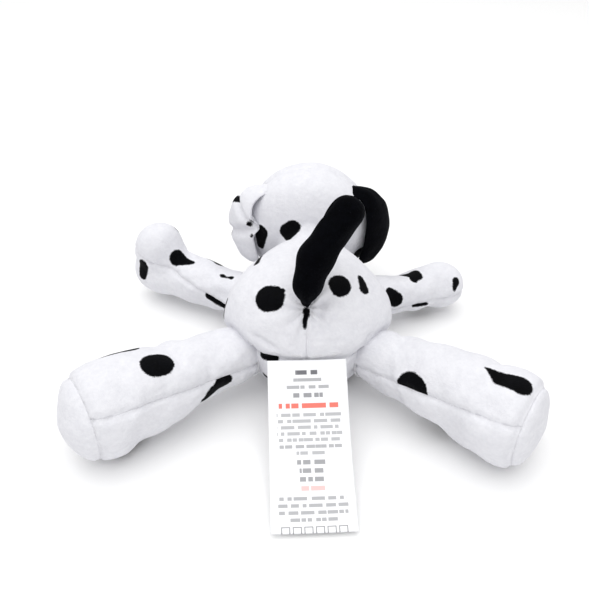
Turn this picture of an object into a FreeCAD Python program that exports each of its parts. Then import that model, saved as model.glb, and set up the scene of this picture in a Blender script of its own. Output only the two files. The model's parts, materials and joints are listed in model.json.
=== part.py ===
import FreeCAD, Part
import math
import os

# Plush spotted dog lying on its belly, legs splayed. Millimetres.
# Frame: +Y towards the nose, +X towards the dog's right, +Z up.
# Origin: middle of the flat belly patch that the toy rests on.

Vector = FreeCAD.Vector

# ---------- driving dimensions ----------
SKIN = 1.5                  # short-pile fabric, backing and pile together
FILL_GAP = 0.1              # between a skin and the stuffing behind it
SEAM_ROOM = 2.0             # between a limb's root ball and the body's socket
THREAD = 0.8                # diameter of a gathered seam thread

RUMP_CENTRE = Vector(0, 8, 31)
RUMP_RADIUS = 32.5
RUMP_HALF_SPAN = 7
BACK_CENTRE = Vector(0, 19.5, 30.5)
BACK_RADIUS = 31.3
CHEST_CENTRE = Vector(0, 30, 18)
CHEST_RADIUS = 17
CHEST_HALF_SPAN = 13
BELLY_SEAM_Z = 25.0         # height of the back-to-belly seam above the origin
BELLY_SEAM_SLOPE = -0.275   # it falls towards the chest

HEAD_CENTRE = Vector(0, 69.6, 45.8)
HEAD_RADIUS = 33
NECK = Vector(0, 45, 41)
NECK_BALL = 17
NECK_CONE = 66              # half-angle of the head's back rim, seen from the neck
FACE_SEAM_Y = 74
MUZZLE_CENTRE = Vector(0, 99.5, 35)
MUZZLE_RADIUS = 15
MUZZLE_HALF_SPAN = 3.5
MUZZLE_SEAM_DROP = 1.5      # the mouth seam's height below the muzzle's middle
EYE_RADIUS = 4.6
EYE_AZIMUTH = 24            # either side of straight ahead
EYE_ELEVATION = 17
NOSE_RADIUS = 4.4
NOSE_HALF_SPAN = 2.2

EAR_LENGTH = 39
EAR_WIDTH = 26
EAR_LAYER = 1.4
EAR_ROOT = Vector(31.2, 70, 67)
EAR_SPREAD = 20             # degrees that the ear hangs out from the vertical
EAR_TURN = 28               # degrees that its front edge stands out from the head

HIP = Vector(34.3, -10.4, 21)
HIND_AZIMUTH = -34.6        # degrees forward of straight out to the side
HIND_LENGTH = 78
HIND_BALL = 12
HIND_ANKLE_RADIUS = 21.3
HIND_SOLE_Z = 22
HIND_SEAM_ROLL = 28         # degrees that the leg's side seams are turned, rear seam up
SOLE_BULGE = 3.0

SHOULDER = Vector(32, 41, 18)
FRONT_BALL = 11
RIGHT_PAW = Vector(74.5, 58, 15.5)
RIGHT_PAW_RADIUS = 11
LEFT_WRIST = Vector(-83, 67, 18)
LEFT_WRIST_RADIUS = 14.3
LEFT_PAW = Vector(-82.5, 64, 31)
LEFT_PAW_RADIUS = 13.5

TAIL_ROOT = Vector(0, -17.4, 57.6)
TAIL_TIP = Vector(16, 0, 94.5)
TAIL_ROOT_RADIUS = 4.5
TAIL_RADIUS = 7.5
TAIL_SWELL = 0.38           # part of the tail's run over which it fills out

LABEL_WIDTH = 35
LABEL_THICKNESS = 0.3
LABEL_TOP = (-25.8, 34.0)   # y and z along the label's middle
LABEL_MIDDLE = (-56.0, 15.0)
LABEL_END = (-92.0, 2.6)
LABEL_TURN = 3.8

BIG = 400                   # side of the blocks that halve a shape


# ---------- building blocks ----------
def ball(centre, radius):
    shape = Part.makeSphere(radius)
    shape.translate(centre)
    return shape


def turned_to(shape, start, direction):
    """Move a shape drawn along +Z from the origin to start at a point and run along a direction."""
    shape.Placement = FreeCAD.Placement(start, FreeCAD.Rotation(Vector(0, 0, 1), direction))
    return shape


def tapered_capsule(start, start_radius, end, end_radius):
    """Two balls and the cone that touches both, as one turned solid."""
    run = end - start
    length = run.Length
    lean = math.asin((start_radius - end_radius) / length)
    low = Vector(start_radius * math.cos(lean), 0, start_radius * math.sin(lean))
    high = Vector(end_radius * math.cos(lean), 0, length + end_radius * math.sin(lean))
    half = (lean - math.pi / 2) / 2
    low_middle = Vector(start_radius * math.cos(half), 0, start_radius * math.sin(half))
    half = (lean + math.pi / 2) / 2
    high_middle = Vector(end_radius * math.cos(half), 0, length + end_radius * math.sin(half))
    bottom = Vector(0, 0, -start_radius)
    top = Vector(0, 0, length + end_radius)
    outline = Part.Wire([
        Part.Arc(bottom, low_middle, low).toShape(),
        Part.makeLine(low, high),
        Part.Arc(high, high_middle, top).toShape(),
        Part.makeLine(top, bottom),
    ])
    solid = Part.Face(outline).revolve(Vector(0, 0, 0), Vector(0, 0, 1), 360)
    return turned_to(solid, start, run)


def lying_capsule(centre, half_span, radius):
    """A capsule that lies across the dog."""
    across = Vector(half_span, 0, 0)
    return tapered_capsule(centre - across, radius, centre + across, radius)


def half_space(point, normal):
    """A block that fills the side of a plane that its normal points to."""
    block = Part.makeBox(BIG, BIG, BIG, Vector(-BIG / 2, -BIG / 2, 0))
    return turned_to(block, point, normal)


def mirrored(shape):
    return shape.mirror(Vector(0, 0, 0), Vector(1, 0, 0))


def flipped(point):
    return Vector(-point.x, point.y, point.z)


def save(node, shape):
    """Write one named piece."""
    shape.exportStep("parts/" + node + ".step")


def seam_ring(centre, direction, radius, opening):
    """A gathered thread that lies on a ball around a joint, opening degrees from its axis."""
    angle = math.radians(opening)
    axis = Vector(direction).normalize()
    ring = Part.makeTorus(radius * math.sin(angle), THREAD / 2)
    return turned_to(ring, centre + axis * (radius * math.cos(angle)), axis)


# ---------- torso ----------
def torso_form(inset):
    """The rump, the back and the chest in one, inset from the outer surface."""
    rump = lying_capsule(RUMP_CENTRE, RUMP_HALF_SPAN, RUMP_RADIUS - inset)
    back = ball(BACK_CENTRE, BACK_RADIUS - inset)
    chest = lying_capsule(CHEST_CENTRE, CHEST_HALF_SPAN, CHEST_RADIUS - inset)
    form = rump.fuse([back, chest])
    return form.common(half_space(Vector(0, 0, inset), Vector(0, 0, 1)))


def neck_axis():
    return (HEAD_CENTRE - NECK).normalize()


def sockets(extra):
    """Hollows in the torso for the root balls of head, legs and tail, and the plane of the neck."""
    room = SEAM_ROOM + extra
    hollows = [ball(NECK, NECK_BALL + room), ball(TAIL_ROOT, TAIL_ROOT_RADIUS + room)]
    for hip in (HIP, flipped(HIP)):
        hollows.append(ball(hip, HIND_BALL + room))
    for shoulder in (SHOULDER, flipped(SHOULDER)):
        hollows.append(ball(shoulder, FRONT_BALL + room))
    hollows.append(half_space(NECK - neck_axis() * extra, neck_axis()))
    return hollows


def belly_side():
    """Everything below the seam between the back and the belly."""
    return half_space(Vector(0, 0, BELLY_SEAM_Z), Vector(0, BELLY_SEAM_SLOPE, -1))


def make_torso():
    hollow_form = torso_form(SKIN)
    skin = torso_form(0).cut(hollow_form).cut(sockets(0))
    belly = belly_side()
    back_right = skin.cut(belly).common(half_space(Vector(0, 0, 0), Vector(1, 0, 0)))
    save("belly_panel", skin.common(belly))
    save("back_right_panel", back_right)
    save("back_left_panel", mirrored(back_right))
    save("body_stuffing", torso_form(SKIN + FILL_GAP).cut(sockets(FILL_GAP)))


def seam_height(y):
    return BELLY_SEAM_Z + BELLY_SEAM_SLOPE * y


def flank_x(y):
    """How far out the rump's surface is at the belly seam."""
    along = y - RUMP_CENTRE.y
    up = seam_height(y) - RUMP_CENTRE.z
    return RUMP_HALF_SPAN + math.sqrt(RUMP_RADIUS ** 2 - along ** 2 - up ** 2)


def make_closing_stitches():
    """Ladder stitches that close the stuffing hole in the left flank's seam."""
    stitches = []
    for y in (10, 13, 16, 19):
        middle = Vector(-flank_x(y) - THREAD, y, seam_height(y))
        stitches.append(tapered_capsule(
            middle - Vector(0, 0, 1.2), THREAD / 4, middle + Vector(0, 0, 1.2), THREAD / 4 - 0.001))
    save("closing_stitches", Part.makeCompound(stitches))


# ---------- care label ----------
def turned_label(shape):
    shape.rotate(Vector(0, LABEL_TOP[0], 0), Vector(0, 0, 1), LABEL_TURN)
    return shape


def make_label():
    """A satin ribbon, held in the rump seam and curving down towards the ground."""
    left = -LABEL_WIDTH / 2
    lower = [Vector(left, y, z) for y, z in (LABEL_TOP, LABEL_MIDDLE, LABEL_END)]
    upper = [point + Vector(0, 0, LABEL_THICKNESS) for point in lower]
    outline = Part.Wire([
        Part.Arc(*lower).toShape(),
        Part.makeLine(lower[2], upper[2]),
        Part.Arc(upper[2], upper[1], upper[0]).toShape(),
        Part.makeLine(upper[0], lower[0]),
    ])
    ribbon = Part.Face(outline).extrude(Vector(LABEL_WIDTH, 0, 0))
    save("care_label", turned_label(ribbon))


def make_label_stitches():
    """Four short bars of thread over the label's sewn edge, just clear of the label."""
    bars = []
    for x in (-13.5, -4.5, 4.5, 13.5):
        start = Vector(x - 2, LABEL_TOP[0] + 0.2, LABEL_TOP[1] + LABEL_THICKNESS + 1.2)
        bars.append(tapered_capsule(start, THREAD / 4, start + Vector(4, 0, 0), THREAD / 4 - 0.001))
    save("label_stitches", turned_label(Part.makeCompound(bars)))


# ---------- head ----------
def neck_cone(inset):
    """The space ahead of the neck that the head may fill without reaching the torso."""
    reach = 120
    rim = reach * math.tan(math.radians(NECK_CONE))
    tip = NECK + neck_axis() * (inset / math.sin(math.radians(NECK_CONE)))
    return turned_to(Part.makeCone(0, rim, reach), tip, neck_axis())


def muzzle_form(grow=0.0):
    return lying_capsule(MUZZLE_CENTRE, MUZZLE_HALF_SPAN, MUZZLE_RADIUS + grow)


def skull_form(inset):
    skull = ball(HEAD_CENTRE, HEAD_RADIUS - inset)
    neck = ball(NECK, NECK_BALL - inset)
    return skull.common(neck_cone(inset)).fuse(neck)


def eye_axis(side):
    azimuth = math.radians(EYE_AZIMUTH)
    elevation = math.radians(EYE_ELEVATION)
    return Vector(
        side * math.sin(azimuth) * math.cos(elevation),
        math.cos(azimuth) * math.cos(elevation),
        math.sin(elevation))


def make_eyes():
    """Black domes on posts, each with a washer behind the fabric. Returns what they push aside."""
    washers = []
    holes = []
    for side, name in ((-1, "left_eye"), (1, "right_eye")):
        axis = eye_axis(side)
        seat = HEAD_CENTRE + axis * HEAD_RADIUS
        dome = ball(seat, EYE_RADIUS).cut(ball(HEAD_CENTRE, HEAD_RADIUS + 0.05))
        post = turned_to(Part.makeCylinder(1.5, 9), seat - axis * 8, axis)
        save(name, dome.fuse(post))
        washer = turned_to(Part.makeCylinder(5, 1.2), seat - axis * (SKIN + 3.0), axis)
        washers.append(washer.cut(turned_to(Part.makeCylinder(1.55, 9), seat - axis * 8, axis)))
        holes.append(turned_to(Part.makeCylinder(1.6, 30), seat - axis * 9, axis))
        holes.append(turned_to(Part.makeCylinder(5.1, 1.4), seat - axis * (SKIN + 3.1), axis))
    save("eye_washers", Part.makeCompound(washers))
    return holes


def make_head():
    holes = make_eyes()
    muzzle = muzzle_form()
    skull_skin = skull_form(0).cut(skull_form(SKIN)).cut([muzzle] + holes)
    front = half_space(Vector(0, FACE_SEAM_Y, 0), Vector(0, 1, 0))
    right_side = half_space(Vector(0, 0, 0), Vector(1, 0, 0))
    back = skull_skin.cut(front)
    save("face_panel", skull_skin.common(front))
    save("head_back_right_panel", back.common(right_side))
    save("head_back_left_panel", back.cut(right_side))
    muzzle_skin = muzzle.cut(muzzle_form(-SKIN)).cut(ball(HEAD_CENTRE, HEAD_RADIUS - SKIN))
    upper = half_space(MUZZLE_CENTRE - Vector(0, 0, MUZZLE_SEAM_DROP), Vector(0, 0.25, 1))
    save("muzzle_panel", muzzle_skin.common(upper))
    save("chin_panel", muzzle_skin.cut(upper))
    filling = skull_form(SKIN + FILL_GAP).fuse(muzzle_form(-SKIN - FILL_GAP))
    save("head_stuffing", filling.cut(holes))


def make_nose_and_mouth():
    """A padded nose on the muzzle's tip, and a stitched line and smile below it."""
    tip = MUZZLE_CENTRE + Vector(0, MUZZLE_RADIUS - 2.2, 6)
    nose = lying_capsule(tip, NOSE_HALF_SPAN, NOSE_RADIUS).cut(muzzle_form(0.05))
    save("nose", nose)
    thread_layer = muzzle_form(0.65).cut(muzzle_form(0.05))
    smile_centre = MUZZLE_CENTRE + Vector(0, 0, 5)
    ring = Part.makeCylinder(9.6, 30).cut(Part.makeCylinder(8.6, 30))
    ring = turned_to(ring, smile_centre, Vector(0, 1, 0))
    lower = half_space(smile_centre - Vector(0, 0, 4), Vector(0, 0, -1))
    line = Part.makeBox(1.0, 30, 5.9)
    line.translate(smile_centre + Vector(-0.5, 0, -9.1))
    save("mouth_stitching", thread_layer.common(ring.common(lower).fuse(line)).cut(nose))


# ---------- ears ----------
def ear_layer(offset):
    """One layer of an ear: narrow at its root, round at its tip, hanging along -Z from the origin."""
    root_half = 0.34 * EAR_WIDTH
    tip_radius = EAR_WIDTH / 2
    tip_centre = -EAR_LENGTH + tip_radius
    shoulder = tip_radius * 0.98
    outline = Part.Wire([
        Part.makeLine(Vector(0, -root_half, 0), Vector(0, root_half, 0)),
        Part.makeLine(Vector(0, root_half, 0), Vector(0, shoulder, tip_centre)),
        Part.Arc(
            Vector(0, shoulder, tip_centre),
            Vector(0, 0, -EAR_LENGTH),
            Vector(0, -shoulder, tip_centre)).toShape(),
        Part.makeLine(Vector(0, -shoulder, tip_centre), Vector(0, -root_half, 0)),
    ])
    layer = Part.Face(outline).extrude(Vector(EAR_LAYER, 0, 0))
    layer.translate(Vector(offset, 0, 0))
    return layer


def hung_ear(layer):
    """Spread the ear from the head's side and turn its front edge outwards."""
    layer.rotate(Vector(0, 0, 0), Vector(0, 1, 0), -EAR_SPREAD)
    layer.rotate(Vector(0, 0, 0), Vector(0, 0, 1), -EAR_TURN)
    layer.translate(EAR_ROOT)
    return layer


def make_ears():
    for layer, offset in (("inner", 0.0), ("outer", EAR_LAYER)):
        ear = hung_ear(ear_layer(offset))
        save("right_ear_" + layer, ear)
        save("left_ear_" + layer, mirrored(ear))


# ---------- legs ----------
def hind_axis():
    azimuth = math.radians(HIND_AZIMUTH)
    rise = (HIND_SOLE_Z - HIP.z) / HIND_LENGTH
    return Vector(math.cos(azimuth), math.sin(azimuth), rise).normalize()


def hind_radius(along):
    """The leg's radius at a distance from the hip."""
    return HIND_BALL + (HIND_ANKLE_RADIUS - HIND_BALL) * along / HIND_LENGTH


def hind_form(inset, length):
    """A right hind leg: a ball at the hip and a cone that widens to the sole."""
    cone = Part.makeCone(HIND_BALL - inset, hind_radius(length) - inset, length)
    return turned_to(cone, HIP, hind_axis()).fuse(ball(HIP, HIND_BALL - inset))


def sole_dome(inset):
    """A lens across the end of a hind leg."""
    radius = HIND_ANKLE_RADIUS
    sphere = (radius ** 2 + SOLE_BULGE ** 2) / (2 * SOLE_BULGE)
    end = HIP + hind_axis() * HIND_LENGTH
    lens = ball(end - hind_axis() * (sphere - SOLE_BULGE), sphere - inset)
    tube = turned_to(Part.makeCylinder(radius - inset, 2 * SOLE_BULGE + 1), end, hind_axis())
    return lens.common(tube)


def sole_plate():
    """The sole's flat layer, let into the leg's end."""
    start = HIP + hind_axis() * (HIND_LENGTH - SKIN)
    plate = Part.makeCone(hind_radius(HIND_LENGTH - SKIN), HIND_ANKLE_RADIUS, SKIN)
    return turned_to(plate, start, hind_axis())


def hind_seam_normal():
    """Square to the plane of a right hind leg's two side seams."""
    roll = math.radians(HIND_SEAM_ROLL)
    up = Vector(0, 0, 1)
    back = hind_axis().cross(up)
    if back.y > 0:
        back = -back
    return up * math.cos(roll) - back * math.sin(roll)


def make_hind_legs():
    outer = hind_form(0, HIND_LENGTH)
    skin = outer.cut(hind_form(SKIN, HIND_LENGTH))
    upper = half_space(HIP, hind_seam_normal())
    sole = sole_dome(0).fuse(sole_plate())
    filling = hind_form(SKIN + FILL_GAP, HIND_LENGTH - SKIN - FILL_GAP)
    pieces = {
        "top_panel": skin.common(upper).cut(sole_plate()),
        "under_panel": skin.cut(upper).cut(sole_plate()),
        "sole": sole,
        "stuffing": filling,
    }
    for name, piece in pieces.items():
        save("right_hind_" + name, piece)
        save("left_hind_" + name, mirrored(piece))


def right_front_form(inset):
    return tapered_capsule(SHOULDER, FRONT_BALL - inset, RIGHT_PAW, RIGHT_PAW_RADIUS - inset)


def left_front_form(inset):
    """The left front leg, whose paw is turned up at the wrist."""
    wrist_radius = LEFT_WRIST_RADIUS - inset
    arm = tapered_capsule(flipped(SHOULDER), FRONT_BALL - inset, LEFT_WRIST, wrist_radius)
    paw = tapered_capsule(LEFT_WRIST, wrist_radius, LEFT_PAW, LEFT_PAW_RADIUS - inset)
    return arm.fuse(paw)


def make_front_legs():
    left_run = LEFT_PAW - flipped(SHOULDER)
    left_across = left_run.cross(Vector(0, 0, 1))
    left_up = left_across.cross(left_run)
    legs = (
        ("right", right_front_form, SHOULDER, Vector(0, 0, 1)),
        ("left", left_front_form, flipped(SHOULDER), left_up),
    )
    for side, form, root, up in legs:
        skin = form(0).cut(form(SKIN))
        upper = half_space(root, up)
        save(side + "_front_top_panel", skin.common(upper))
        save(side + "_front_under_panel", skin.cut(upper))
        save(side + "_front_stuffing", form(SKIN + FILL_GAP))


# ---------- tail ----------
def tail_form(inset):
    """A plump tube that narrows sharply where it is gathered into the back seam."""
    run = TAIL_TIP - TAIL_ROOT
    thigh = TAIL_ROOT + run * TAIL_SWELL
    stub = tapered_capsule(TAIL_ROOT, TAIL_ROOT_RADIUS - inset, thigh, TAIL_RADIUS - inset)
    tube = tapered_capsule(thigh, TAIL_RADIUS - inset, TAIL_TIP, TAIL_RADIUS - inset)
    return stub.fuse(tube)


def make_tail():
    skin = tail_form(0).cut(tail_form(SKIN))
    side = (TAIL_TIP - TAIL_ROOT).cross(Vector(0, 1, 0)).cross(TAIL_TIP - TAIL_ROOT)
    front = half_space(TAIL_ROOT, side)
    save("tail_front_cover", skin.common(front))
    save("tail_rear_cover", skin.cut(front))
    save("tail_stuffing", tail_form(SKIN + FILL_GAP))


# ---------- gathered seams ----------
def make_seam_threads():
    """Drawn-up threads in the gaps between the torso and what is sewn to it."""
    left_arm = LEFT_WRIST - flipped(SHOULDER)
    threads = {
        "neck_seam_thread": (NECK, neck_axis(), NECK_BALL, 105),
        "tail_seam_thread": (TAIL_ROOT, TAIL_TIP - TAIL_ROOT, TAIL_ROOT_RADIUS, 120),
        "right_hip_seam_thread": (HIP, hind_axis(), HIND_BALL, 120),
        "left_hip_seam_thread": (flipped(HIP), flipped(hind_axis()), HIND_BALL, 120),
        "right_shoulder_seam_thread": (SHOULDER, RIGHT_PAW - SHOULDER, FRONT_BALL, 120),
        "left_shoulder_seam_thread": (flipped(SHOULDER), left_arm, FRONT_BALL, 120),
    }
    for node, (centre, axis, radius, opening) in threads.items():
        save(node, seam_ring(centre, axis, radius + SEAM_ROOM / 2, opening))


make_torso()
make_closing_stitches()
make_label()
make_label_stitches()
make_head()
make_nose_and_mouth()
make_ears()
make_hind_legs()
make_front_legs()
make_tail()
make_seam_threads()
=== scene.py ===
import json
import math

import bmesh
import bpy
import numpy as np
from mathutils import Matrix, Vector, noise
from mathutils.bvhtree import BVHTree

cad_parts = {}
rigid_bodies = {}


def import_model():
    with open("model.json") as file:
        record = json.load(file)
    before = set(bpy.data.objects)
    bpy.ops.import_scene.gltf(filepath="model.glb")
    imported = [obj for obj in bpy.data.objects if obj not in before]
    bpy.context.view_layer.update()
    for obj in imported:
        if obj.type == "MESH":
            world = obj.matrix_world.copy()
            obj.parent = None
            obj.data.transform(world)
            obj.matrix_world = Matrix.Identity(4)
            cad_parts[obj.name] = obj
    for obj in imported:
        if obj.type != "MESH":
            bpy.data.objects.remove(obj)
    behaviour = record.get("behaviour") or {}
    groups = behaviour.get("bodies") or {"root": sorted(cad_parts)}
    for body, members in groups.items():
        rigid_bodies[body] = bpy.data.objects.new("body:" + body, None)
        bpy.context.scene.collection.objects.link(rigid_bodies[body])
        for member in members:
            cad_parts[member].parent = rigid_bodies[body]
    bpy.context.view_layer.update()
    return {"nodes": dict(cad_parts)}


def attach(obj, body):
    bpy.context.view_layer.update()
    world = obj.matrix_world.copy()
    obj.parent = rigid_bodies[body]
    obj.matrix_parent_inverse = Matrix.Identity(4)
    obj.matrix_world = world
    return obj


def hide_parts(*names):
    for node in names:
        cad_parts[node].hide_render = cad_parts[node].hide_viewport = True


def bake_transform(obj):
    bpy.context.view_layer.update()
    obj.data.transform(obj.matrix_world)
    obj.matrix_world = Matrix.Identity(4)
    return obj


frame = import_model()

# The visual model of a small plush dog that lies on its belly.
# +Y is towards the nose, +X towards the dog's right, +Z up. Shape numbers are
# millimetres, and new_object() turns them into metres.
MM = 0.001
CLOTH = 1.2                # thickness of the plush at a panel's edge
FILL_INSET = 4.4           # how far the stuffing lies inside the sewn shape
STITCH_RADIUS = 0.28       # the hand stitches and the label's bars
GATHERING_RADIUS = 0.25    # the thread that draws the tail's root together
MOUTH_RADIUS = 0.45        # the thick thread of the mouth

# ---------- driving dimensions, repeated from the CAD model ----------
BELLY_SEAM_Z = 25.0
BELLY_SEAM_SLOPE = -0.275
HEAD_CENTRE = np.array([0.0, 69.6, 45.8])
HEAD_RADIUS = 33.0
NECK = np.array([0.0, 45.0, 41.0])
NECK_CONE = math.radians(66)
FACE_SEAM_Y = 74.0
MUZZLE_CENTRE = np.array([0.0, 99.5, 35.0])
MUZZLE_SEAM_DROP = 1.5
HIP = np.array([34.3, -10.4, 21.0])
HIND_AZIMUTH = math.radians(-34.6)
HIND_LENGTH = 78.0
SOLE_MIDDLE_Z = 22.0
HIND_SEAM_ROLL = 0.40
HIND_SEAM_RISE = 0.133
HIND_SEAM_DROP = 2.7
SHOULDER = np.array([32.0, 41.0, 18.0])
RIGHT_PAW = np.array([74.5, 58.0, 15.5])
LEFT_WRIST = np.array([-83.0, 67.0, 18.0])
LEFT_PAW = np.array([-82.5, 64.0, 31.0])
LEFT_PAW_HEART = np.array([-80.0, 65.5, 23.0])    # inside the turned-up paw
TAIL_ROOT = np.array([0.0, -17.4, 57.6])
TAIL_TIP = np.array([16.0, 0.0, 94.5])
LABEL_WIDTH = 35.0
LABEL_THICKNESS = 0.3
LABEL_TOP = (-25.8, 34.0)
LABEL_MIDDLE = (-56.0, 15.0)
LABEL_END = (-92.0, 2.6)
LABEL_TURN = math.radians(3.8)

# ---------- shapes that follow the photo more closely than the solids ----------
RIGHT_HIND = (73.5, 4.0)   # length of a hind leg, and how far its sole bulges
LEFT_HIND = (74.5, 8.5)
SOLE_RADIUS = 20.5
MUZZLE_SEAM_SLOPE = 0.25

TORSO_MIDDLE = np.array([0.0, 14.0, 31.0])
MIRROR = np.array([-1.0, 1.0, 1.0])
UP = np.array([0.0, 0.0, 1.0])


# ---------- numbers ----------
def unit(vector):
    vector = np.asarray(vector, float)
    return vector / np.linalg.norm(vector)


def lengths(vectors):
    return np.linalg.norm(vectors, axis=1)


def smooth_union(a, b, width):
    h = np.clip(0.5 + 0.5 * (b - a) / width, 0, 1)
    return b * (1 - h) + a * h - width * h * (1 - h)


def smooth_cut(a, b, width):
    """What is inside both forms, with a rounded edge between them."""
    return -smooth_union(-a, -b, width)


def groove(distance, width):
    return np.exp(-((distance / width) ** 2))


def ramp(value, low, high):
    t = np.clip((value - low) / (high - low), 0, 1)
    return t * t * (3 - 2 * t)


def waves(points, size, seed):
    """Smooth random bumps between -1 and 1 with the given size in millimetres."""
    offset = Vector((seed * 7.3, seed * 3.1, seed * 5.7))
    return np.array([noise.noise(Vector(p / size) + offset) for p in points])


# ---------- forms: negative inside, positive outside ----------
def ball(p, centre, radius):
    return lengths(p - centre) - radius


def ellipsoid(p, centre, radii):
    q = (p - np.array(centre)) / np.array(radii)
    k0 = lengths(q)
    k1 = lengths(q / np.array(radii))
    return k0 * (k0 - 1) / np.maximum(k1, 1e-9)


def capsule(p, start, end, start_radius, end_radius):
    run = np.asarray(end, float) - start
    h = np.clip((p - start) @ run / (run @ run), 0, 1)
    away = lengths(p - start - h[:, None] * run)
    return away - start_radius - (end_radius - start_radius) * h


def neck_axis():
    return unit(HEAD_CENTRE - NECK)


def torso_form(p):
    rump = ellipsoid(p, (0, 8, 31), (39.5, 32, 32.5))
    back = ellipsoid(p, (0, 21, 30), (31, 31, 32))
    chest = capsule(p, np.array([-13, 30, 18]), (13, 30, 18), 17, 17)
    form = smooth_union(smooth_union(rump, back, 5), chest, 6)
    form = smooth_cut(form, (p - NECK) @ neck_axis() - 1, 5)
    return smooth_cut(form, -p[:, 2], 4)


def head_form(p):
    skull = ball(p, HEAD_CENTRE, HEAD_RADIUS)
    along = (p - NECK) @ neck_axis()
    away = lengths(p - NECK - along[:, None] * neck_axis())
    cone = away * math.cos(NECK_CONE) - along * math.sin(NECK_CONE)
    return smooth_union(smooth_cut(skull, cone + 0.5, 7), ball(p, NECK, 15), 5)


def muzzle_form(p):
    cheeks = capsule(p, MUZZLE_CENTRE - (4.5, 0, 0), MUZZLE_CENTRE + (4.5, 0, 0), 14, 14)
    chin = ball(p, MUZZLE_CENTRE + (0, -2, -5), 10.5)
    return smooth_union(cheeks, chin, 5)


def hind_axis():
    rise = (SOLE_MIDDLE_Z - HIP[2]) / HIND_LENGTH
    return unit([math.cos(HIND_AZIMUTH), math.sin(HIND_AZIMUTH), rise])


def hind_form(p, length=HIND_LENGTH, bulge=3.5):
    """A right hind leg: narrow at the hip, full at the foot, with a domed sole."""
    along = (p - HIP) @ hind_axis()
    radius = np.interp(along, (-14, 0, 12, 30, 50, 66, 80), (11.4, 13.2, 14.2, 16.4, 19.2, 21.3, 21.4))
    lift = np.interp(along, (0, 25, 60, 78), (1.5, 2.8, 1, 0))
    away = p - HIP - along[:, None] * hind_axis() - lift[:, None] * UP
    away = lengths(away)
    dome = along - (length + bulge - bulge * (away / SOLE_RADIUS) ** 2)
    form = smooth_cut(away - radius, dome, 6)
    form = smooth_cut(form, -along - 12, 9)
    return smooth_cut(form, 0.3 - p[:, 2], 2)


def hind_seam_normal():
    """Square to the plane of a right hind leg's side seams, which rises to the foot and the back."""
    back = unit(np.cross(hind_axis(), UP))
    return unit(UP - HIND_SEAM_RISE * hind_axis() - HIND_SEAM_ROLL * back)


def right_front_form(p):
    arm = capsule(p, SHOULDER, RIGHT_PAW, 11.2, 10.8)
    paw = ball(p, RIGHT_PAW - (2, 0, -0.3), 11.6)
    return smooth_union(arm, paw, 4)


def left_front_form(p):
    arm = capsule(p, SHOULDER * MIRROR, LEFT_WRIST, 11.2, 13.6)
    paw = capsule(p, LEFT_WRIST, LEFT_PAW + (0, 2, 2.5), 13.8, 13.2)
    return smooth_union(arm, paw, 3)


def tail_form(p):
    low = TAIL_ROOT + (0.2, 2.2, 9.5)
    middle = TAIL_ROOT + (3.4, 5.5, 21.0)
    root = capsule(p, TAIL_ROOT + (-0.6, 2.2, 1.6), low, 3.0, 6.6)
    lower = capsule(p, low, middle, 6.6, 8.0)
    upper = capsule(p, middle, TAIL_TIP, 8.0, 7.4)
    return smooth_union(smooth_union(root, lower, 2), upper, 3)


def grid_faces(rows, columns):
    """The faces of a sheet whose points come row by row."""
    return [(i * columns + j, i * columns + j + 1, (i + 1) * columns + j + 1, (i + 1) * columns + j)
            for i in range(rows - 1) for j in range(columns - 1)]


# ---------- rays: a net of directions from inside a form ----------
def ball_rays(centre, cells):
    """A net with square meshes all round a centre."""
    mesh = bmesh.new()
    bmesh.ops.create_cube(mesh, size=2)
    bmesh.ops.subdivide_edges(mesh, edges=mesh.edges[:], cuts=cells - 1, use_grid_fill=True)
    directions = np.array([v.co[:] for v in mesh.verts])
    directions = np.tan(directions * math.pi / 4)
    directions /= lengths(directions)[:, None]
    faces = [tuple(v.index for v in f.verts) for f in mesh.faces]
    mesh.free()
    return np.tile(np.asarray(centre, float), (len(directions), 1)), directions, faces


def spine_points(corners, count):
    """Points evenly spaced along a smooth line through a limb."""
    corners = np.array(corners, float)
    if len(corners) == 2:
        t = np.linspace(0, 1, count)[:, None]
        return corners[0] * (1 - t) + corners[1] * t
    t = np.linspace(0, 1, 40)[:, None]
    handle = 2 * corners[1] - (corners[0] + corners[2]) / 2
    line = corners[0] * (1 - t) ** 2 + 2 * handle * t * (1 - t) + corners[2] * t ** 2
    run = np.concatenate([[0], np.cumsum(lengths(np.diff(line, axis=0)))])
    at = np.linspace(0, run[-1], count)
    return np.stack([np.interp(at, run, line[:, k]) for k in range(3)], axis=1)


def limb_rays(corners, count, around, fan):
    """A net around a line: a fan at each end and straight-out rings between."""
    line = spine_points(corners, count)
    tangents = np.gradient(line, axis=0)
    tangents /= lengths(tangents)[:, None]
    opening = np.linspace(0, math.pi / 2, fan + 1)[:-1]
    rings = [(line[0], tangents[0], math.pi - a) for a in opening]
    rings += [(line[i], tangents[i], math.pi / 2) for i in range(count)]
    rings += [(line[-1], tangents[-1], a) for a in opening[::-1]]
    angles = np.linspace(0, 2 * math.pi, around, endpoint=False)
    origins = []
    directions = []
    for point, tangent, polar in rings:
        side = unit(np.cross(tangent, UP))
        over = np.cross(side, tangent)
        across = np.outer(np.cos(angles), over) + np.outer(np.sin(angles), side)
        directions.append(math.cos(polar) * tangent + math.sin(polar) * across)
        origins.append(np.tile(point, (around, 1)))
    faces = []
    for i in range(len(rings) - 1):
        for j in range(around):
            k = (j + 1) % around
            faces.append((i * around + j, i * around + k, (i + 1) * around + k, (i + 1) * around + j))
    return np.concatenate(origins), np.concatenate(directions), faces


def reach(rays, form):
    """Where each ray leaves a form."""
    origins, directions, faces = rays
    near = np.zeros(len(origins))
    far = np.full(len(origins), 100.0)
    for _ in range(30):
        middle = (near + far) / 2
        inside = form(origins + directions * middle[:, None]) < 0
        near = np.where(inside, middle, near)
        far = np.where(inside, far, middle)
    return origins + directions * near[:, None], faces


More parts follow.
